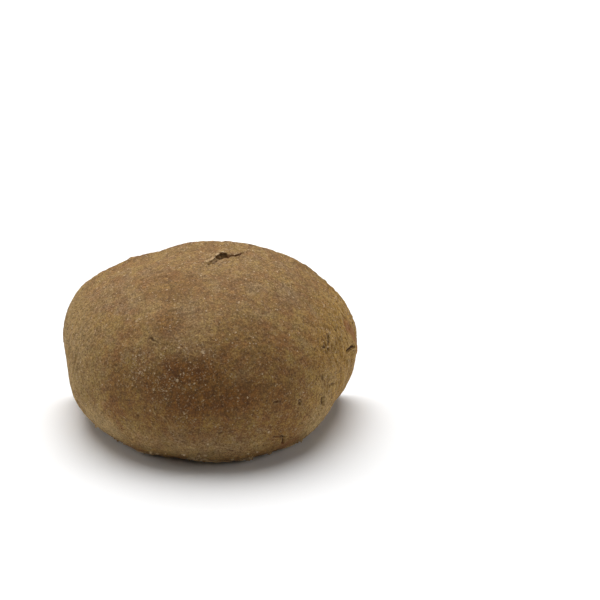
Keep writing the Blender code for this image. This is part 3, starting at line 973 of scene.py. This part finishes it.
def crumbMaterial():
    paint = crumbPaint
    bench = Bench("rye crumb")
    place = bench.place()
    cloud = bench.clouds(place, paint["cloudSize"], 4.0, 0.6).between(0.32, 0.68)
    tone = bench.coat(colour(*paint["mid"]), paint["light"], cloud)
    warped = bench.warped(place, *paint["warp"])
    cell = bench.cells(warped, paint["cellSize"])
    grain = bench.clouds(place, paint["grainSize"], 3.0, 0.7).between(0.3, 0.7) * 0.6 + cell * 0.4
    tone = bench.coat(tone, paint["shade"], 1.0 - grain)
    strands = bench.clouds(warped, paint["strandSize"], 2.0, 0.5).between(0.55, 0.66)
    low = 1.0 - bench.height(place).between(*paint["strandFade"]) * 0.6
    tone = bench.coat(tone, paint["strand"], strands * low)
    tone = bench.coat(tone, paint["speck"], (cell - 0.94).between(0.0, 0.03))
    # painted shade in the dimples of the crumb's cells
    tone = bench.coat(tone, paint["foam"], bench.attribute("foam").between(0.3, 1.0))
    tone = bench.coat(tone, paint["poreRim"], bench.attribute("rim"))
    # painted shade inside the pores, by their depth
    tone = bench.coat(tone, paint["poreShade"], bench.attribute("poreShade").between(0.05, 0.8))
    edge = bench.attribute("edge") + (bench.clouds(place, paint["edgeSize"], 3.0, 0.6) - 0.5) * 2.0
    tone = bench.coat(tone, paint["underCrust"], 1.0 - edge.between(0.5, 5.0))
    tone = bench.coat(tone, paint["crustLine"], 1.0 - edge.between(0.0, 0.9))
    bench.surface(tone, paint["roughness"], paint["specular"])
    height = bench.clouds(place, paint["bumpSize"], 3.0, 0.7) + cell * 0.3
    bench.feed(bench.shader.inputs["Normal"], bench.bump(height, paint["bumpHeight"]))
    return bench.material


# small torn and loose things on the crust; plain places and sizes are in millimetres
looseBits = {
    "seed": 8,
    "flakeGrid": 9,
    "flakeThickness": 0.26 * mm,
    # flakes set one by one: place, length, width, how far they curl up, spin
    "flakes": (
        ((6.4, 25.9, 76.4), 3.6, 1.6, 0.5, 0.15),
        ((4.4, 24.0, 76.4), 2.6, 1.2, 0.5, 0.95),
        ((2.3, 21.4, 76.0), 2.6, 1.3, 0.35, 0.9),
        ((1.2, 19.6, 75.8), 2.0, 1.4, 0.3, 0.5),
        ((-0.8, 18.6, 75.6), 1.6, 0.9, 0.2, 0.2),
        ((13.0, 27.4, 75.2), 3.4, 1.1, 0.2, 0.8),
        ((53.0, 0.7, 48.9), 1.8, 1.1, 0.4, 0.4),
        ((-21.6, -28.2, 4.3), 2.4, 1.2, 0.3, 0.1),
        ((-9.5, -33.6, 6.4), 2.0, 1.2, 0.4, 0.6),
        ((-3.8, -32.6, 4.2), 3.2, 1.3, 0.4, 0.0),
        ((-0.6, -31.8, 3.4), 3.4, 1.3, 0.4, 0.2),
        ((17.8, -27.9, 2.2), 2.4, 1.2, 0.4, -0.3),
        ((27.6, -22.4, 2.2), 2.2, 1.2, 0.4, 0.5),
        ((27.2, -33.1, 17.3), 1.3, 0.7, 0.3, 0.4),
        ((39.0, -24.2, 14.1), 1.1, 0.6, 0.3, 0.8),
        ((-11.5, -36.3, 43.4), 1.4, 0.8, 0.2, 1.2),
        ((-28.0, -30.0, 44.1), 1.0, 0.7, 0.2, 0.2),
        ((4.7, -39.7, 23.5), 0.9, 0.6, 0.2, 0.2),
        ((1.1, -37.9, 13.8), 0.9, 0.6, 0.2, 0.9),
        ((-8.5, -39.6, 29.4), 0.9, 0.6, 0.2, 0.9),
    ),
    "footFlakes": (34, 0.9, 2.4),       # how many more round the foot, smallest and largest length
    "footFlakeBand": (1.5 * mm, 7 * mm),   # between these heights
    "flakeLift": 0.05 * mm,
    # crumbs set on the cut's rim, two at each place, and their smallest and largest size
    "rimBits": ((51.2, 38.6, 57.2), (52.6, 38.8, 55.8), (60.9, 38.4, 44.6)),
    "rimBitSize": (0.6, 1.3),
    "rimBitInset": 0.985,               # their places are drawn in by this
    # more crumbs round the rim: how many, smallest and largest size, nearest and farthest from the rim
    "crumbs": (90, 0.4, 1.5),
    "crumbInset": (0.3, 2.2),
    "crumbSetback": 0.3,
    # bran scattered on the crust: how many bits, smallest and largest
    "paleBran": (3000, 0.2, 0.85),
    # places where pale bran and flour cling in a clump: bits in each, spread, smallest and largest bit
    "clump": (9, 1.6, 0.25, 0.8),
    "clumps": (
        (-11.5, -36.3, 43.4), (-15.6, -36.4, 41.0), (-21.4, -35.4, 39.0), (-18.0, -36.2, 39.6),
        (-27.5, -30.7, 44.1), (-29.7, -26.3, 49.1), (-8.5, -39.6, 29.4), (-12.2, -39.0, 26.8),
        (-5.2, -39.8, 25.6), (4.7, -39.7, 23.5), (-33.2, 0.9, 64.5), (-29.5, -12.4, 60.6),
        (-57.6, 17.6, 50.3), (-60.1, 14.1, 45.0), (39.0, -24.2, 14.1), (35.8, 7.1, 65.0),
        (-20.9, -35.9, 34.5), (-0.5, -30.2, 54.1), (3.4, -31.4, 52.7), (-7.4, -29.9, 54.0),
    ),
    "darkBran": (1800, 0.22, 0.7),
    "branShare": (8 * mm, 40 * mm),     # more bran from the first height to the second
    # bits keep this far from the floor and the cut, and off the closed inside behind the cut, which has
    # this half width, half height, share of both, and depth
    "floorGap": 1.0 * mm,
    "cutGap": 0.5 * mm,
    "inside": (66 * mm, 43 * mm, 0.93),
    "insideDepth": 5 * mm,
}


def moved(points, frameMatrix):
    return points @ np.array(frameMatrix.to_3x3()).T + np.array(frameMatrix.translation)


# one mesh of a shape's copies, one for each matrix
def copyMany(name, shape, frames):
    points = meshPoints(shape.data)
    faces = [list(face.vertices) for face in shape.data.polygons]
    everyPoint = []
    everyFace = []
    for index, frameMatrix in enumerate(frames):
        everyPoint.append(moved(points, frameMatrix))
        everyFace += [[corner + index * len(points) for corner in face] for face in faces]
    mesh = bpy.data.meshes.new(name)
    mesh.from_pydata(np.concatenate(everyPoint).tolist(), [], everyFace)
    bpy.data.objects.remove(shape)
    return addObject(name, mesh)


# the crust's outer faces: centre, normal and area
def crustFaces():
    bits = looseBits
    faces = crust.data.polygons
    centre = readValues(faces, "center", 3)
    normal = readValues(faces, "normal", 3)
    area = readValues(faces, "area", 1)[:, 0]
    # the cut's rings come with their faces in another order in every run, so these are put in order
    index = np.arange(len(faces))
    ring = np.maximum(index - domeFaces, -1) // len(rimPoints)
    turn = np.arctan2(centre[:, 2] - crustLook["core"][1], centre[:, 0])
    order = np.lexsort((np.where(ring < 0, index, turn), ring))
    centre, normal, area = centre[order], normal[order], area[order]
    fromCut = loafForm["cutY"] - centre[:, 1]
    keep = (fromCut > bits["cutGap"]) & (centre[:, 2] > bits["floorGap"])
    halfWidth, halfHeight, share = bits["inside"]
    middle = crustLook["core"][1]
    inside = np.hypot(centre[:, 0] / halfWidth, (centre[:, 2] - middle) / halfHeight) < share
    keep &= ~(inside & (fromCut < bits["insideDepth"]))
    return centre[keep], normal[keep], area[keep]


def frameOn(place, normal, spin, size, lift=0.0):
    away = Vector(normal).normalized()
    sideways = Vector((1.0, 0.0, 0.0))
    across = sideways - away * away.x if abs(away.x) < 0.95 else Vector((0.0, 1.0, 0.0)).cross(away)
    across.normalize()
    turn = Matrix((across, away.cross(across), away)).transposed().to_4x4()
    scale = Matrix.Diagonal((size[0], size[1], size[2], 1.0))
    at = Vector(place) + away * lift
    return Matrix.Translation(at) @ turn @ Matrix.Rotation(spin, 4, "Z") @ scale


def branFrame(centre, normal, size, draw):
    stretch = (size * draw.uniform(0.9, 1.8), size, size * draw.uniform(0.3, 0.6))
    return frameOn(centre, normal, draw.uniform(0, math.pi), stretch)


def scatterBran(kind, places, weights, draw):
    centre, normal, area = places
    count, small, large = kind
    picks = draw.choices(range(len(centre)), weights=(area * weights).tolist(), k=count)
    sizes = [(small + (large - small) * draw.random() ** 3.0) * mm for _ in picks]
    return [branFrame(centre[pick], normal[pick], size, draw) for pick, size in zip(picks, sizes)]


def faceTree(centre):
    tree = kdtree.KDTree(len(centre))
    for index, point in enumerate(centre):
        tree.insert(point, index)
    tree.balance()
    return tree


def clumpBran(places, tree, draw):
    centre, normal, _ = places
    count, spread, small, large = looseBits["clump"]
    frames = []
    for at in looseBits["clumps"]:
        for _ in range(count):
            offset = Vector([draw.gauss(0.0, spread / 2) for _ in range(3)])
            _, index, _ = tree.find((Vector(at) + offset) * mm)
            size = (small + (large - small) * draw.random() ** 2.0) * mm
            frames.append(branFrame(centre[index], normal[index], size, draw))
    return frames


# a lumpy ball, one unit across
def smallBall(steps, lumpSize, lumpShare):
    deselectAll()
    bpy.ops.mesh.primitive_ico_sphere_add(subdivisions=steps, radius=0.5, location=(0, 0, 0))
    ball = bpy.context.active_object
    points = meshPoints(ball.data)
    setPoints(ball.data, points * (1.0 + noiseField(points, lumpSize, 4.0) * lumpShare)[:, None])
    return ball


# one unit flake: a ragged sheet that curls up, most of all at one end
def unitFlake(curl, seed):
    deselectAll()
    steps = looseBits["flakeGrid"]
    bpy.ops.mesh.primitive_grid_add(x_subdivisions=steps, y_subdivisions=steps, size=2.0)
    sheet = bpy.context.active_object
    points = meshPoints(sheet.data)
    u, v = points[:, 0].copy(), points[:, 1].copy()
    points[:, 0] = u * np.sqrt(1.0 - v * v / 2) * 0.5
    points[:, 1] = v * np.sqrt(1.0 - u * u / 2) * 0.5
    ragged = np.array([noise.noise_vector(Vector((a * 4.2 + seed, b * 4.2, seed))) for a, b in points[:, :2]])
    points[:, :2] += ragged[:, :2] * 0.2
    lift = points[:, 0] ** 2 * 0.6 + np.maximum(-points[:, 1], 0.0) ** 2 * 2.4
    points[:, 2] = curl * lift + ragged[:, 2] * 0.05
    setPoints(sheet.data, points)
    return sheet


def thicken(piece, thickness):
    selectOnly(piece)
    solid = piece.modifiers.new("thickness", "SOLIDIFY")
    solid.thickness = thickness
    solid.offset = -1.0
    bpy.ops.object.modifier_apply(modifier=solid.name)
    bpy.ops.object.shade_smooth()


def makeFlakes(centre, tree, draw):
    sheets = []
    chosen = [(np.array(at) * mm, *rest) for at, *rest in looseBits["flakes"]]
    count, small, large = looseBits["footFlakes"]
    lowest, highest = looseBits["footFlakeBand"]
    foot = np.nonzero((centre[:, 2] < highest) & (centre[:, 2] > lowest))[0]
    for pick in draw.choices(list(foot), k=count):
        length = small + (large - small) * draw.random() ** 2
        width = length * draw.uniform(0.4, 0.7)
        curl = draw.uniform(0.3, 0.9)
        chosen.append((centre[pick], length, width, curl, draw.uniform(-0.5, 0.5)))
    away = outward(np.array([at for at, *_ in chosen]))
    for number, (at, length, width, curl, spin) in enumerate(chosen):
        _, index, _ = tree.find(at)
        sheet = unitFlake(curl, number * 1.7)
        size = (length * mm, width * mm, length * mm)
        frameMatrix = frameOn(centre[index], away[number], spin, size, looseBits["flakeLift"])
        setPoints(sheet.data, moved(meshPoints(sheet.data), frameMatrix))
        sheets.append(sheet)
    deselectAll()
    for sheet in sheets:
        sheet.select_set(True)
    bpy.context.view_layer.objects.active = sheets[0]
    bpy.ops.object.join()
    flakes = bpy.context.active_object
    flakes.name = "crust_flakes"
    flakes.data.name = "crust_flakes"
    thicken(flakes, looseBits["flakeThickness"])
    return flakes


def makeCrumbs(draw):
    ball = smallBall(3, 0.35, 0.7)
    frames = []
    shift = Vector((sideShift, 0, 0))
    for at in looseBits["rimBits"]:
        for _ in range(2):
            spread = Vector((draw.uniform(-0.7, 0.5), draw.uniform(-0.6, 0.3), draw.uniform(-0.7, 0.5))) * mm
            size = [draw.uniform(*looseBits["rimBitSize"]) * mm for _ in range(3)]
            place = Vector(at) * mm * looseBits["rimBitInset"] + spread - shift
            frames.append(frameOn(place, (0.5, 0.3, 0.8), draw.uniform(0, 3), size))
    count, small, large = looseBits["crumbs"]
    turn = np.arctan2(rimPoints[:, 2] - crustLook["core"][1], rimPoints[:, 0])
    for pick in draw.choices(range(len(rimPoints)), k=count):
        size = (small + (large - small) * draw.random() ** 2.5) * mm
        inset = draw.uniform(*looseBits["crumbInset"]) * mm + 0.6 * size
        direction = Vector((math.cos(turn[pick]), 0.0, math.sin(turn[pick])))
        place = Vector(rimPoints[pick]) - direction * inset
        place.y = loafForm["cutY"] - draw.uniform(0.0, looseBits["crumbSetback"]) * mm
        if place.z < size:
            continue
        stretch = (size, size * draw.uniform(0.6, 1.0), size * draw.uniform(0.6, 1.0))
        frames.append(frameOn(place, (0, 1, 0), draw.uniform(0, math.pi), stretch))
    crumbs = copyMany("rim_crumbs", ball, frames)
    selectOnly(crumbs)
    bpy.ops.object.shade_smooth()
    return crumbs


def makeLooseBits():
    draw = random.Random(looseBits["seed"])
    places = crustFaces()
    dust = zoneShare(places[0], crustLook["dusted"])
    above = smoothStep(places[0][:, 2], *looseBits["branShare"])
    tree = faceTree(places[0])
    paleFrames = scatterBran(looseBits["paleBran"], places, 0.2 + 0.25 * above + 1.1 * dust, draw)
    pale = copyMany("pale_bran", smallBall(1, 0.4, 1.1), paleFrames + clumpBran(places, tree, draw))
    darkFrames = scatterBran(looseBits["darkBran"], places, 0.5 + 0.5 * above, draw)
    dark = copyMany("dark_bran", smallBall(1, 0.4, 1.1), darkFrames)
    flakes = makeFlakes(places[0], tree, draw)
    crumbs = makeCrumbs(draw)
    for piece in (pale, dark, flakes, crumbs):
        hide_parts(nodeName)
        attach(piece, "root")
    print("loose bits placed")
    return pale, dark, flakes, crumbs


paleBran, darkBran, flakes, rimCrumbs = makeLooseBits()

bitPaint = {
    "pale": ((136, 108, 74), (198, 172, 136)),
    "dark": ((84, 56, 33), (114, 78, 46)),
    "flake": ((152, 120, 80), (214, 190, 150)),
    "crumb": ((140, 112, 72), (178, 150, 106)),
}


def bitMaterial(name, key, size):
    bench = Bench(name)
    place = bench.place()
    mottle = bench.clouds(place, size, 3.0, 0.6).between(0.38, 0.66)
    first, second = bitPaint[key]
    bench.surface(bench.blend(colour(*first), colour(*second), mottle), 0.8, 0.3)
    return bench.material


paleBran.data.materials.append(bitMaterial("pale bran", "pale", 2.0 * mm))
darkBran.data.materials.append(bitMaterial("dark bran", "dark", 2.0 * mm))
flakes.data.materials.append(bitMaterial("torn crust", "flake", 1.0 * mm))
rimCrumbs.data.materials.append(bitMaterial("loose crumb", "crumb", 1.2 * mm))
crust.data.materials.append(crustMaterial())
crumb.data.materials.append(crumbMaterial())
print("crust and crumb painted")

# the picture: where the camera stands, and where the cut's foot lies in a frame of 600 pixels
picture = {
    "elevation": math.radians(24),
    "distance": 1.2,
    "pixelsPerMetre": 2180,
    "framePixels": 600,
    "footPixel": (211.1, 393.7),
    "sensor": 36.0,
}


def makeCamera():
    shot = picture
    tilt = shot["elevation"]
    back = Vector((0.0, -math.cos(tilt), math.sin(tilt)))
    up = Vector((0.0, math.sin(tilt), math.cos(tilt)))
    half = shot["framePixels"] / 2
    across = (shot["footPixel"][0] - half) / shot["pixelsPerMetre"]
    down = (shot["footPixel"][1] - half) / shot["pixelsPerMetre"]
    foot = Vector((-sideShift, loafForm["cutY"], 0.0))
    data = bpy.data.cameras.new("camera")
    camera = addObject("camera", data)
    camera.location = foot - Vector((across, 0.0, 0.0)) + up * down + back * shot["distance"]
    camera.rotation_euler = (math.pi / 2 - tilt, 0.0, 0.0)
    data.sensor_width = shot["sensor"]
    data.lens = shot["sensor"] * shot["pixelsPerMetre"] * shot["distance"] / shot["framePixels"]
    data.clip_end = 20.0
    bpy.context.scene.camera = camera


studio = {
    "floorSize": 8.0,
    "floorColour": (0.86, 0.86, 0.86, 1.0),
    "ambient": 0.06,
    "overhead": {"size": 1.9, "place": (-0.12, 0.6, 1.5), "aim": (0.0, 0.0, 0.0), "watts": 44.0},
    "left": {"size": 0.9, "place": (-1.3, 0.25, 0.55), "aim": (0.0, 0.0, 0.04), "watts": 5.0},
    "right": {"size": 0.9, "place": (1.3, 0.0, 0.55), "aim": (0.0, 0.0, 0.04), "watts": 4.0},
}


def makeLight(name):
    kind = studio[name]
    data = bpy.data.lights.new(name, "AREA")
    data.shape = "DISK"
    data.size = kind["size"]
    data.energy = kind["watts"]
    lamp = addObject(name, data)
    lamp.location = kind["place"]
    direction = Vector(kind["aim"]) - Vector(kind["place"])
    lamp.rotation_euler = direction.to_track_quat("-Z", "Y").to_euler()


def makeStudio():
    deselectAll()
    bpy.ops.mesh.primitive_plane_add(size=studio["floorSize"], location=(0, 0, 0))
    floor = bpy.context.active_object
    floor.name = "floor"
    bench = Bench("pale floor")
    bench.surface(studio["floorColour"], 0.9, 0.1)
    floor.data.materials.append(bench.material)
    for name in ("overhead", "left", "right"):
        makeLight(name)
    world = bpy.data.worlds.new("studio")
    world.use_nodes = True
    world.node_tree.nodes["Background"].inputs["Strength"].default_value = studio["ambient"]
    world.node_tree.nodes["Background"].inputs["Color"].default_value = (1.0, 1.0, 1.0, 1.0)
    bpy.context.scene.world = world
    bpy.context.scene.view_settings.view_transform = "Standard"


makeCamera()
makeStudio()
print("camera and studio set")
